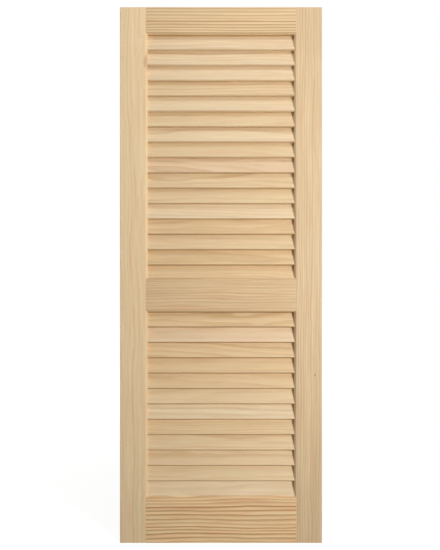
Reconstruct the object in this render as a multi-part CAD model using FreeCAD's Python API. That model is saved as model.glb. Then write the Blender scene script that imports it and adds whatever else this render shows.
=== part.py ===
import FreeCAD, Part
import math
import os

# One leaf of a louvred closet door in solid pine, with fixed slats in two bays.
# Two stiles run the full height. Three rails are dowelled between them, and every slat
# is housed at both ends in a slanting groove in the stiles.
#
# Millimetres. X runs across the leaf, Y through its thickness with the front face at -Y,
# and Z up from the bottom edge, with the origin at the middle of that edge.

# Leaf
leaf_height = 1219.0
leaf_width = 460.0
leaf_thickness = 28.0

# Frame boards
stile_width = 62.4
top_rail_height = 60.2
mid_rail_height = 78.7
bottom_rail_height = 107.0
lower_bay_height = 417.8        # clear height between the bottom rail and the mid rail
sticking_bevel_width = 3.6      # 45 degree bevel on every frame edge that faces the slats
outer_arris_radius = 1.5        # softened outer edges of the stiles

# Slats
upper_slat_count = 16
lower_slat_count = 12
slat_angle = 68.0               # degrees above horizontal, leaning back from the lower edge
slat_thickness = 6.0
slat_setback = 3.0              # from the leaf's face back to a slat's corner, before rounding
upper_slat_drop = 33.5          # from the top of a bay down to the first slat's front corner
lower_slat_drop = 32.4
upper_slat_tuck = 4.6           # of the last slat's front corner into the rail below its bay
lower_slat_tuck = 1.3
slat_edge_radius = 1.0
slat_edge_share = 0.45          # the largest edge radius, as a share of the slat's thickness
housing_depth = 8.0             # how far a groove goes into the stile
housing_end_gap = 0.5           # between a slat's end and the bottom of its groove
housing_clearance = 0.1         # between a slat's faces and its groove

# Dowels across the joints between rails and stiles
dowel_diameter = 10.0
dowel_length = 60.0
dowel_end_bevel = 1.0
dowel_flute_radius = 0.6
dowel_flutes = 8
dowel_clearance = 0.05          # on the radius of the hole
dowel_end_gap = 1.0             # glue space at each end of a dowel's hole
dowels_per_narrow_joint = 2     # top and mid rails
dowels_per_bottom_joint = 3
dowel_spacing_top = 26.0
dowel_spacing_mid = 36.0
dowel_spacing_bottom = 30.0

# Places that follow from the sizes above
opening_width = leaf_width - 2 * stile_width
lower_bay_top = bottom_rail_height + lower_bay_height
upper_bay_bottom = lower_bay_top + mid_rail_height
upper_bay_top = leaf_height - top_rail_height
slat_lean = math.radians(slat_angle)
slat_depth_room = leaf_thickness - 2 * slat_setback
slat_width = (slat_depth_room - slat_thickness * math.sin(slat_lean)) / math.cos(slat_lean)
slat_length = opening_width + 2 * (housing_depth - housing_end_gap)
housing_length = opening_width + 2 * housing_depth

X_AXIS = FreeCAD.Vector(1, 0, 0)
ORIGIN = FreeCAD.Vector(0, 0, 0)
TOUCH = 1e-4                    # two places nearer than this are the same place


def export(node, shape):
    """Write one node's solids to its own file."""
    shape.exportStep("parts/" + node + ".step")


def long_edges(board, length, at_place):
    """The board's edges of this length whose two ends pass a test of their place."""
    return [
        edge for edge in board.Edges
        if abs(edge.Length - length) < TOUCH
        and all(at_place(vertex) for vertex in edge.Vertexes)
    ]


def stile_board(side):
    """A stile without its grooves and holes; side is -1 for the left and 1 for the right."""
    inner = side * opening_width / 2
    outer = side * leaf_width / 2
    corner = FreeCAD.Vector(min(inner, outer), -leaf_thickness / 2, 0)
    board = Part.makeBox(stile_width, leaf_thickness, leaf_height, corner)
    inner_edges = long_edges(board, leaf_height, lambda end: abs(end.X - inner) < TOUCH)
    board = board.makeChamfer(sticking_bevel_width, inner_edges)
    outer_edges = long_edges(board, leaf_height, lambda end: abs(end.X - outer) < TOUCH)
    return board.makeFillet(outer_arris_radius, outer_edges)


def rail_board(bottom, top, bevelled_heights):
    """A rail without its grooves and holes, scribed at both ends over the stiles' bevels."""
    reach = opening_width / 2 + sticking_bevel_width
    corner = FreeCAD.Vector(-reach, -leaf_thickness / 2, bottom)
    board = Part.makeBox(2 * reach, leaf_thickness, top - bottom, corner)
    for height in bevelled_heights:
        edges = long_edges(board, 2 * reach, lambda end: abs(end.Z - height) < TOUCH)
        board = board.makeChamfer(sticking_bevel_width, edges)
    return board.cut([stile_board(-1), stile_board(1)])


def slat_board(front_edge_z, length, clearance):
    """A slat with its front lower corner at this height, or the shape of its groove."""
    width = slat_width + 2 * clearance
    thickness = slat_thickness + 2 * clearance
    corner = FreeCAD.Vector(-length / 2, -width / 2, -thickness / 2)
    board = Part.makeBox(length, width, thickness, corner)
    edge_radius = min(slat_edge_radius, slat_edge_share * slat_thickness) + clearance
    board = board.makeFillet(edge_radius, long_edges(board, length, lambda end: True))
    board.rotate(ORIGIN, X_AXIS, slat_angle)
    rise = slat_width / 2 * math.sin(slat_lean) - slat_thickness / 2 * math.cos(slat_lean)
    board.translate(FreeCAD.Vector(0, 0, front_edge_z + rise))
    return board


def slat_heights(bay_bottom, bay_top, count, drop, tuck):
    """Heights of the slats' front lower corners, from the top of a bay to its bottom."""
    first = bay_top - drop
    last = bay_bottom - tuck
    step = (first - last) / (count - 1)
    return [first - step * index for index in range(count)]


def dowel_places(rail_bottom, rail_top, count, spacing):
    """Centres of a rail's dowels, on the line where its ends meet the stiles."""
    middle = (rail_bottom + rail_top) / 2
    heights = [middle + spacing * (index - (count - 1) / 2) for index in range(count)]
    return [
        FreeCAD.Vector(side * opening_width / 2, 0, height)
        for side in (-1, 1) for height in heights
    ]


def dowel_pin():
    """A fluted dowel along X, centred on the origin, with bevelled ends."""
    radius = dowel_diameter / 2
    start = FreeCAD.Vector(-dowel_length / 2, 0, 0)
    pin = Part.makeCylinder(radius, dowel_length, start, X_AXIS)
    rims = [edge for edge in pin.Edges if edge.Closed]
    pin = pin.makeChamfer(dowel_end_bevel, rims)
    flutes = []
    for index in range(dowel_flutes):
        turn = 2 * math.pi * index / dowel_flutes
        foot = start + FreeCAD.Vector(0, radius * math.cos(turn), radius * math.sin(turn))
        flutes.append(Part.makeCylinder(dowel_flute_radius, dowel_length, foot, X_AXIS))
    return pin.cut(flutes)


def dowel_hole(centre):
    """The space drilled for one dowel, half of it in the stile and half in the rail."""
    half = dowel_length / 2 + dowel_end_gap
    radius = dowel_diameter / 2 + dowel_clearance
    return Part.makeCylinder(radius, 2 * half, centre - FreeCAD.Vector(half, 0, 0), X_AXIS)


os.makedirs("parts", exist_ok=True)

upper_slats = slat_heights(
    upper_bay_bottom, upper_bay_top, upper_slat_count, upper_slat_drop, upper_slat_tuck)
lower_slats = slat_heights(
    bottom_rail_height, lower_bay_top, lower_slat_count, lower_slat_drop, lower_slat_tuck)

dowels = {
    "top_rail": dowel_places(
        upper_bay_top, leaf_height, dowels_per_narrow_joint, dowel_spacing_top),
    "mid_rail": dowel_places(
        lower_bay_top, upper_bay_bottom, dowels_per_narrow_joint, dowel_spacing_mid),
    "bottom_rail": dowel_places(
        0.0, bottom_rail_height, dowels_per_bottom_joint, dowel_spacing_bottom),
}
dowel_holes = [dowel_hole(centre) for centres in dowels.values() for centre in centres]

# Each groove runs from stile to stile. It also lets the end slats of a bay into the edges
# of the rails above and below them.
housings = [
    slat_board(height, housing_length, housing_clearance)
    for height in upper_slats + lower_slats
]
machining = housings + dowel_holes

# Stiles
export("stile_left", stile_board(-1).cut(machining))
export("stile_right", stile_board(1).cut(machining))

# Rails
top_rail = rail_board(upper_bay_top, leaf_height, [upper_bay_top])
mid_rail = rail_board(lower_bay_top, upper_bay_bottom, [lower_bay_top, upper_bay_bottom])
bottom_rail = rail_board(0.0, bottom_rail_height, [bottom_rail_height])
export("top_rail", top_rail.cut(machining))
export("mid_rail", mid_rail.cut(machining))
export("bottom_rail", bottom_rail.cut(machining))

# Slats, numbered from the top of each bay
for bay, heights in (("upper", upper_slats), ("lower", lower_slats)):
    for number, height in enumerate(heights, start=1):
        export("slat_%s_%02d" % (bay, number), slat_board(height, slat_length, 0.0))

# Dowels, one group for each rail
for rail, centres in dowels.items():
    pins = []
    for centre in centres:
        pin = dowel_pin()
        pin.translate(centre)
        pins.append(pin)
    export("dowels_" + rail, Part.makeCompound(pins))
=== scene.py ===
import math
import random

import bpy
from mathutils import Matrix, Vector


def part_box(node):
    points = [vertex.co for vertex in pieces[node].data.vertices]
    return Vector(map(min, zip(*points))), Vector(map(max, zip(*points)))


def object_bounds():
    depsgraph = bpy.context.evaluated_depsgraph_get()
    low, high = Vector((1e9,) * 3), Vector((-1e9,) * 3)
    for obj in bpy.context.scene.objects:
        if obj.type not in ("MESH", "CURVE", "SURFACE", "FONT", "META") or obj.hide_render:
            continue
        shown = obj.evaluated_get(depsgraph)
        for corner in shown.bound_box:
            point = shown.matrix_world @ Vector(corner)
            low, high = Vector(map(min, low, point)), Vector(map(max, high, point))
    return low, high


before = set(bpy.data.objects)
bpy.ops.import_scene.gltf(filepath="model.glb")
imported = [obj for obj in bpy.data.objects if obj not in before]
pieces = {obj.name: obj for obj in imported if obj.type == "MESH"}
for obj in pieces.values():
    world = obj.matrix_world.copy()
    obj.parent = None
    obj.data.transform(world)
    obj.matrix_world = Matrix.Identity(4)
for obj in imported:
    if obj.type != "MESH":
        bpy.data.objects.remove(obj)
cad_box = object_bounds()

# Left stile. An upright pine board, planed and sanded and left bare. Its inner edges are bevelled
# and it is grooved for the slats. Its grain runs straight up, apart from one knot that breaks
# out at the inner edge near the top and turns the grain aside.


def linear(tone):
    """The linear colour of an sRGB hex value, with an alpha of 1."""
    shares = [int(tone[place:place + 2], 16) / 255 for place in (1, 3, 5)]
    curve = [s / 12.92 if s <= 0.04045 else ((s + 0.055) / 1.055) ** 2.4 for s in shares]
    return (*curve, 1.0)


def add(tree, kind, inputs, **settings):
    """Add a node with its settings, and link or set each input that is named or numbered."""
    node = tree.nodes.new("ShaderNode" + kind)
    for setting, value in settings.items():
        setattr(node, setting, value)
    for socket, value in inputs.items():
        if isinstance(value, bpy.types.NodeSocket):
            tree.links.new(value, node.inputs[socket])
        else:
            node.inputs[socket].default_value = value
    return node.outputs


def empty_material(name):
    """A material with an empty node tree."""
    material = bpy.data.materials.new(name)
    material.use_nodes = True
    material.node_tree.nodes.clear()
    return material


def along_grain(tree, place, length, width, detail, roughness=0.5):
    """Noise in blotches of this length along x and this width across it, in place's units."""
    squeezed = add(tree, "VectorMath", {0: place, 1: (1 / length, 1 / width, 1 / width)},
                   operation="MULTIPLY")[0]
    return add(tree, "TexNoise", {"Vector": squeezed, "Scale": 1.0, "Detail": detail,
                                  "Roughness": roughness})


def planed_pine(name, turn, pith, ring, tones, late, seed, wander=5.0, runout=0.0, cloud=0.5,
                streak=0.5, knot=None):
    """Bare planed pine, as a solid of growth rings round a pith. Lengths are in millimetres.

    The eye gets a pale honey board, matt, with a darker and slightly glossier line of summer
    wood for each year.

    turn: degrees about Y that lay the grain along x
    pith: its (y, z) after that turn
    ring: usual width of a year's growth
    tones: hex colours of the spring wood, summer wood, heartwood and pale sapwood
    late: how strongly the summer wood shows, at most
    seed: another number gives another board
    wander: how far the rings stray from true circles
    runout: degrees that the grain runs off the board's edges
    cloud: how strongly heartwood and sapwood show
    streak: how strongly the soft streaks show
    knot: its place along and across the board, its reach both ways as length and width, how
        far it pushes the rings, and how dark its heart is
    """
    spring, summer, heart, sap = [linear(tone) for tone in tones]
    material = empty_material(name)
    tree = material.node_tree

    millimetres = (1000, 1000, 1000)
    next_board = 137.0              # along the grain, between the boards of two seeds 1 apart
    solid = add(tree, "TexCoord", {})
    board = add(tree, "Mapping", {
        "Vector": solid["Object"], "Scale": millimetres,
        "Rotation": (0, math.radians(turn), math.radians(runout))})[0]
    rings = add(tree, "Mapping", {
        "Vector": board, "Location": (next_board * seed, -pith[0], -pith[1])})[0]

    # The rings wander slowly along the board, as the trunk did.
    wave = along_grain(tree, rings, length=210, width=38, detail=2.0, roughness=0.45)["Fac"]
    sideways = add(tree, "VectorMath", {0: rings, 1: (0, 1, 1)}, operation="MULTIPLY")[0]
    radius = add(tree, "VectorMath", {0: sideways}, operation="LENGTH")["Value"]
    radius = add(tree, "Math", {0: wave, 1: 2 * wander, 2: radius}, operation="MULTIPLY_ADD")[0]

    # A knot pushes the rings aside, and where it reaches the face it is dark at its heart.
    heart_full, heart_end = 0.08, 0.35      # shares of the knot's reach
    if knot:
        length, width = knot["length"], knot["width"]
        local = add(tree, "Mapping", {
            "Vector": board, "Location": (-knot["along"] / length, 0, -knot["across"] / width),
            "Scale": (1 / length, 0, 1 / width)})[0]
        reach = add(tree, "VectorMath", {0: local}, operation="LENGTH")["Value"]
        pushed = add(tree, "MapRange", {"Value": reach, "To Min": knot["push"], "To Max": 0.0},
                     interpolation_type="SMOOTHERSTEP")[0]
        radius = add(tree, "Math", {0: radius, 1: pushed}, operation="ADD")[0]
        dark_knot = add(tree, "MapRange", {"Value": reach, "From Min": heart_full,
                                           "From Max": heart_end, "To Min": knot["darkness"],
                                           "To Max": 0.0},
                        interpolation_type="SMOOTHSTEP")[0]

    # Good and poor spells of growth change the width of the years. Within a year, the summer
    # wood darkens slowly and ends sharply, and in some years it stays faint.
    spell = 42                      # mm of growth
    uneven = 2.2                    # years by which a spell can shift the count, at most
    growth = add(tree, "Math", {0: radius, 1: 1 / spell}, operation="MULTIPLY")[0]
    growth = add(tree, "TexNoise", {"W": growth, "Scale": 1.0, "Detail": 1.0},
                 noise_dimensions="1D")["Fac"]
    years = add(tree, "Math", {0: radius, 1: 1 / ring, 2: seed}, operation="MULTIPLY_ADD")[0]
    years = add(tree, "Math", {0: growth, 1: uneven, 2: years}, operation="MULTIPLY_ADD")[0]
    season = add(tree, "Math", {0: years}, operation="FRACT")[0]
    year = add(tree, "Math", {0: years}, operation="FLOOR")[0]
    year = add(tree, "TexWhiteNoise", {"W": year}, noise_dimensions="1D")["Value"]
    summer_start, summer_full, autumn, winter = 0.35, 0.86, 0.9, 1.0     # shares of a year
    rise = add(tree, "MapRange", {"Value": season, "From Min": summer_start,
                                  "From Max": summer_full},
               interpolation_type="SMOOTHSTEP")[0]
    fall = add(tree, "MapRange", {"Value": season, "From Min": autumn, "From Max": winter,
                                  "To Min": 1.0, "To Max": 0.0},
               interpolation_type="SMOOTHSTEP")[0]
    faintest = 0.35                 # year, as a share of the strongest one
    depth = add(tree, "MapRange", {"Value": year, "To Min": faintest * late, "To Max": late})[0]
    band = add(tree, "Math", {0: rise, 1: fall}, operation="MULTIPLY")[0]
    band = add(tree, "Math", {0: band, 1: depth}, operation="MULTIPLY")[0]

    # Single fibres are far too fine to show, so they are drawn in bundles 0.9 mm wide. Soft
    # streaks run along the grain too, and heartwood and sapwood come in clouds.
    streak_dark, streak_light = 0.16, 0.1   # shares of the light that full streaks take or give
    fibre_dark, fibre_light = 0.95, 1.04    # shades of the two sorts of bundle
    fibre = along_grain(tree, rings, length=30, width=0.9, detail=2.0)["Fac"]
    soft = along_grain(tree, rings, length=190, width=6, detail=3.0)["Fac"]
    drift = along_grain(tree, rings, length=110, width=10, detail=2.0)["Color"]
    drift = add(tree, "SeparateColor", {"Color": drift})
    red = add(tree, "MapRange", {"Value": drift[0], "From Min": 0.5, "From Max": 0.72,
                                 "To Max": cloud}, interpolation_type="SMOOTHSTEP")[0]
    pale = add(tree, "MapRange", {"Value": drift[1], "From Min": 0.42, "From Max": 0.7,
                                  "To Max": cloud}, interpolation_type="SMOOTHSTEP")[0]
    tone = add(tree, "Mix", {"Factor": red, 6: spring, 7: heart}, data_type="RGBA")[2]
    tone = add(tree, "Mix", {"Factor": pale, 6: tone, 7: sap}, data_type="RGBA")[2]
    tone = add(tree, "Mix", {"Factor": band, 6: tone, 7: summer}, data_type="RGBA")[2]
    shade = add(tree, "MapRange", {"Value": soft, "From Min": 0.3, "From Max": 0.7,
                                   "To Min": 1 - streak_dark * streak,
                                   "To Max": 1 + streak_light * streak})[0]
    fine = add(tree, "MapRange", {"Value": fibre, "From Min": 0.25, "From Max": 0.75,
                                  "To Min": fibre_dark, "To Max": fibre_light})[0]
    shade = add(tree, "Math", {0: shade, 1: fine}, operation="MULTIPLY")[0]

    # End grain drinks the light and shows darker than the faces.
    end_grain_shade = 0.72
    facing = add(tree, "VectorRotate", {"Vector": solid["Normal"], "Axis": (0, 1, 0),
                                        "Angle": math.radians(turn)})[0]
    facing = add(tree, "SeparateXYZ", {"Vector": facing})["X"]
    facing = add(tree, "Math", {0: facing}, operation="ABSOLUTE")[0]
    end = add(tree, "MapRange", {"Value": facing, "From Min": 0.6, "From Max": 0.95,
                                 "To Min": 1.0, "To Max": end_grain_shade})[0]
    shade = add(tree, "Math", {0: shade, 1: end}, operation="MULTIPLY")[0]
    tone = add(tree, "VectorMath", {0: tone, "Scale": shade}, operation="SCALE")[0]
    if knot:
        tone = add(tree, "Mix", {"Factor": dark_knot, 6: tone, 7: linear("#8A5A30")},
                   data_type="RGBA")[2]

    # Sanding leaves the hard summer wood a hair proud and a little smoother.
    proud = 0.0001                  # metres
    fibre_relief = 0.5              # share of the summer wood's
    spring_roughness, summer_roughness = 0.62, 0.48
    relief = add(tree, "Math", {0: fibre, 1: fibre_relief, 2: band},
                 operation="MULTIPLY_ADD")[0]
    bump = add(tree, "Bump", {"Height": relief, "Strength": 0.35, "Distance": proud})[0]
    rough = add(tree, "MapRange", {"Value": band, "To Min": spring_roughness,
                                   "To Max": summer_roughness})[0]
    surface = add(tree, "BsdfPrincipled", {
        "Base Color": tone, "Roughness": rough, "Normal": bump, "IOR": 1.45})[0]
    add(tree, "OutputMaterial", {"Surface": surface})
    return material


# The left stile's paler tones are painted light: they make up for the lamp at the right lighting
# this stile less than the right one.
pieces["stile_left"].material_slots[0].material = planed_pine(
    "bare_pine_stile_left", turn=90, pith=(150, 150), ring=3.0,
    tones=("#F2D5A9", "#D6A972", "#F1C79B", "#F5DDB2"), late=0.34, seed=3.0, runout=0.2,
    streak=0.3, knot={"along": 1095, "across": 168, "length": 75, "width": 34, "push": 20,
                      "darkness": 0.3})

# Dowels. Fluted beech pins, cut from rod, glued half into a stile and half into a rail. They
# are hidden once the frame is pressed together.


def fluted_beech(name):
    """Beech rod: pink brown, with the short dark flecks of its rays along the grain."""
    grain_scale = (60, 900, 900)            # per metre: streaks 17 mm long and 1.1 mm wide
    fleck_scale = (400, 2200, 2200)         # per metre: rays 2.5 mm long and 0.45 mm wide
    material = empty_material(name)
    tree = material.node_tree
    solid = add(tree, "TexCoord", {})["Object"]
    grain = add(tree, "VectorMath", {0: solid, 1: grain_scale}, operation="MULTIPLY")[0]
    grain = add(tree, "TexNoise", {"Vector": grain, "Scale": 1.0, "Detail": 3.0})["Fac"]
    flecks = add(tree, "VectorMath", {0: solid, 1: fleck_scale}, operation="MULTIPLY")[0]
    flecks = add(tree, "TexVoronoi", {"Vector": flecks, "Scale": 1.0})["Distance"]
    flecks = add(tree, "MapRange", {"Value": flecks, "From Min": 0.12, "From Max": 0.3,
                                    "To Min": 0.6, "To Max": 0.0})[0]
    tone = add(tree, "Mix", {"Factor": grain, 6: linear("#D2AC85"), 7: linear("#C0946B")},
               data_type="RGBA")[2]
    tone = add(tree, "Mix", {"Factor": flecks, 6: tone, 7: linear("#8E5F3E")},
               data_type="RGBA")[2]
    surface = add(tree, "BsdfPrincipled", {"Base Color": tone, "Roughness": 0.6, "IOR": 1.45})[0]
    add(tree, "OutputMaterial", {"Surface": surface})
    return material


beech = fluted_beech("fluted_beech")
for rail in ("top_rail", "mid_rail", "bottom_rail"):
    pieces["dowels_" + rail].material_slots[0].material = beech

# Rails. Three pine boards dowelled between the stiles, bevelled where they face the slats. Top
# and bottom rails are cut from fast-grown stock with bold straight lines, the mid rail from
# plainer stock.

# The bottom rail's pale tones are partly the pine's own and partly painted light, making up for
# the lamps' light falling off towards the foot of the leaf.
pieces["bottom_rail"].material_slots[0].material = planed_pine(
    "bare_pine_bottom_rail", turn=0, pith=(70, -120), ring=7.5,
    tones=("#F8D2A0", "#B67A42", "#F0BF8E", "#FADEAC"), late=1.0, seed=7.0, wander=6.5,
    cloud=0.7, streak=0.7)
pieces["mid_rail"].material_slots[0].material = planed_pine(
    "bare_pine_mid_rail", turn=0, pith=(60, 470), ring=5.0,
    tones=("#DFBE92", "#B98D5A", "#DBB287", "#E5C89C"), late=0.55, seed=11.0, wander=6.5,
    cloud=0.6)
pieces["top_rail"].material_slots[0].material = planed_pine(
    "bare_pine_top_rail", turn=0, pith=(60, 1008), ring=6.2,
    tones=("#E6C79A", "#A97B45", "#E0B98C", "#EBD0A2"), late=0.95, seed=5.0, wander=2.0)

# Slats. Thin moulded pine strips with eased edges, pushed into the slanting grooves of the
# stiles. They are cut from many boards, sorted only roughly by tone, so each has its own tone
# and figure, and its grain seldom runs quite level.

SLAT_STOCKS = {
    "cream": ("#ECD2AB", "#CFAB7C", "#EAC8A8", "#F2E0BC"),
    "straw": ("#E7CAA0", "#C8A26E", "#DFB990", "#EDD8A8"),
    "rose": ("#E8CAA4", "#C69F71", "#E9C2A2", "#EED6B2"),
    "tan": ("#E4C497", "#C09862", "#DCB287", "#E9CFA2"),
}
UPPER_STOCKS = ("cream cream cream straw cream straw cream straw rose straw straw cream tan "
                "straw tan tan")
LOWER_STOCKS = "tan rose tan tan tan straw cream tan straw straw straw cream"
SLAT_SLOPE = (-1.1, 1.1)        # degrees that the grain may run off level
PITH_BEHIND = (45, 130)         # mm from the middle of the leaf's thickness back to the pith
PITH_ABOVE = (-80, 30)          # mm from the slat's lower edge up to the pith
SLAT_RING = (2.4, 4.4)          # mm
SLAT_LATE = (0.25, 0.6)         # how strongly the summer wood shows
SLAT_SEED = (10, 90)
sawing = random.Random(5)
for bay, stocks in (("upper", UPPER_STOCKS), ("lower", LOWER_STOCKS)):
    for number, stock in enumerate(stocks.split(), start=1):
        slat = "slat_%s_%02d" % (bay, number)
        lower_edge = 1000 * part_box(slat)[0].z
        slope = sawing.uniform(*SLAT_SLOPE)
        pith = (sawing.uniform(*PITH_BEHIND), lower_edge + sawing.uniform(*PITH_ABOVE))
        pieces[slat].material_slots[0].material = planed_pine(
            "bare_pine_" + slat, turn=slope, pith=pith, ring=sawing.uniform(*SLAT_RING),
            tones=SLAT_STOCKS[stock], late=sawing.uniform(*SLAT_LATE),
            seed=sawing.uniform(*SLAT_SEED), wander=4.0, cloud=0.4, streak=0.3)

# Right stile. The left one's twin, with a pin knot low on its face. Its tones are deeper than the
# left stile's because the left one is painted paler, painted light that makes up for the lamp at
# the right lighting the left stile less.

pieces["stile_right"].material_slots[0].material = planed_pine(
    "bare_pine_stile_right", turn=90, pith=(150, -320), ring=3.4,
    tones=("#DFC299", "#BD925C", "#DDB68D", "#E6CDA4"), late=0.45, seed=9.0, runout=-0.2,
    cloud=0.6, knot={"along": 382, "across": -214, "length": 14, "width": 7, "push": 3,
                     "darkness": 0.6})

# Floor. A white studio floor that runs out of sight. Seen directly it is nearly white near the
# leaf and quite white further off, and its matt paint still takes the leaf's soft shadow. It
# also throws back up some of the light that the room's lamps give it.


def seen_directly(tree):
    """1 where the camera sees the surface, itself or by reflection or through glass, else 0."""
    rays = add(tree, "LightPath", {})
    seen = add(tree, "Math", {0: rays["Is Camera Ray"], 1: rays["Is Glossy Ray"]},
               operation="MAXIMUM")[0]
    return add(tree, "Math", {0: seen, 1: rays["Is Transmission Ray"]}, operation="MAXIMUM")[0]


FLOOR_SIZE = 24.0               # metres
FLOOR_BOUNCE = 0.06             # glow of the floor as the leaf sees it
NEAR, FAR = 0.3, 2.4            # metres from the leaf
NEAR_GLOW, FAR_GLOW = 0.9, 1.0  # glow of the floor as the camera sees it
bpy.ops.object.select_all(action="DESELECT")
bpy.ops.mesh.primitive_plane_add(size=FLOOR_SIZE, location=(0, 0, 0))
floor = bpy.context.object
floor.name = "studio_floor"
paint = empty_material("white_floor_paint")
place = add(paint.node_tree, "TexCoord", {})["Object"]
away = add(paint.node_tree, "VectorMath", {0: place}, operation="LENGTH")["Value"]
glow = add(paint.node_tree, "MapRange", {"Value": away, "From Min": NEAR, "From Max": FAR,
                                         "To Min": NEAR_GLOW, "To Max": FAR_GLOW},
           interpolation_type="SMOOTHSTEP")[0]
glow = add(paint.node_tree, "MapRange", {"Value": seen_directly(paint.node_tree),
                                         "To Min": FLOOR_BOUNCE, "To Max": glow})[0]
glow = add(paint.node_tree, "Emission", {"Strength": glow})[0]
matt = add(paint.node_tree, "BsdfDiffuse", {"Color": linear("#7C7C7B")})[0]
both = add(paint.node_tree, "AddShader", {0: glow, 1: matt})[0]
add(paint.node_tree, "OutputMaterial", {"Surface": both})
floor.data.materials.append(paint)

# Studio light. A small soft lamp above the top and in front of it, a soft lamp at the right, one
# low behind for the back face, where the slats keep it from shining through, and a weak even
# fill from a room that looks white.


def soft_lamp(name, place, aim, size, level):
    """A round lamp that gives this share of plain light on a surface that faces it at its aim."""
    lamp = bpy.data.lights.new(name, "AREA")
    lamp.shape = "DISK"
    lamp.size = size
    reach = Vector(aim) - Vector(place)
    lamp.energy = level * math.pi ** 2 * reach.length_squared
    holder = bpy.data.objects.new(name, lamp)
    holder.location = place
    holder.rotation_euler = reach.to_track_quat("-Z", "Y").to_euler()
    holder.visible_camera = False
    bpy.context.scene.collection.objects.link(holder)


MIDDLE = (0, 0, 0.61)
soft_lamp("lamp_above", (0.02, -0.614, 1.65), MIDDLE, size=0.38, level=0.15)
soft_lamp("lamp_right", (0.80, -1.35, 0.77), MIDDLE, size=0.35, level=0.73)
soft_lamp("lamp_behind", (-1.5, 2.0, 0.40), MIDDLE, size=0.80, level=0.60)

ROOM_FILL = 0.21                # light of the room on the leaf, where 1 is white
room = bpy.data.worlds.new("white_room")
room.use_nodes = True
room.node_tree.nodes.clear()
level = add(room.node_tree, "MapRange", {"Value": seen_directly(room.node_tree),
                                         "To Min": ROOM_FILL, "To Max": 1.0})[0]
light = add(room.node_tree, "Background", {"Color": (1, 1, 1, 1), "Strength": level})[0]
add(room.node_tree, "OutputWorld", {"Surface": light})
bpy.context.scene.world = room

# Camera. Square on to the front, level with the leaf's middle and just left of it. The lens is
# set by the picture's height, its longer side, along which the sensor's width lies.

CAMERA_DISTANCE = 1.35          # metres from the leaf's face
PICTURE_HEIGHT = 1.2514         # metres that the picture's height takes in at the leaf's face
ASIDE, EYE_HEIGHT = -0.0022, 0.6096
front = cad_box[0].y
camera = bpy.data.cameras.new("camera")
camera.lens = camera.sensor_width * CAMERA_DISTANCE / PICTURE_HEIGHT
stand = bpy.data.objects.new("camera", camera)
stand.location = (ASIDE, front - CAMERA_DISTANCE, EYE_HEIGHT)
stand.rotation_euler = (math.radians(90), 0, 0)
bpy.context.scene.collection.objects.link(stand)
bpy.context.scene.camera = stand
bpy.context.scene.view_settings.view_transform = "Standard"
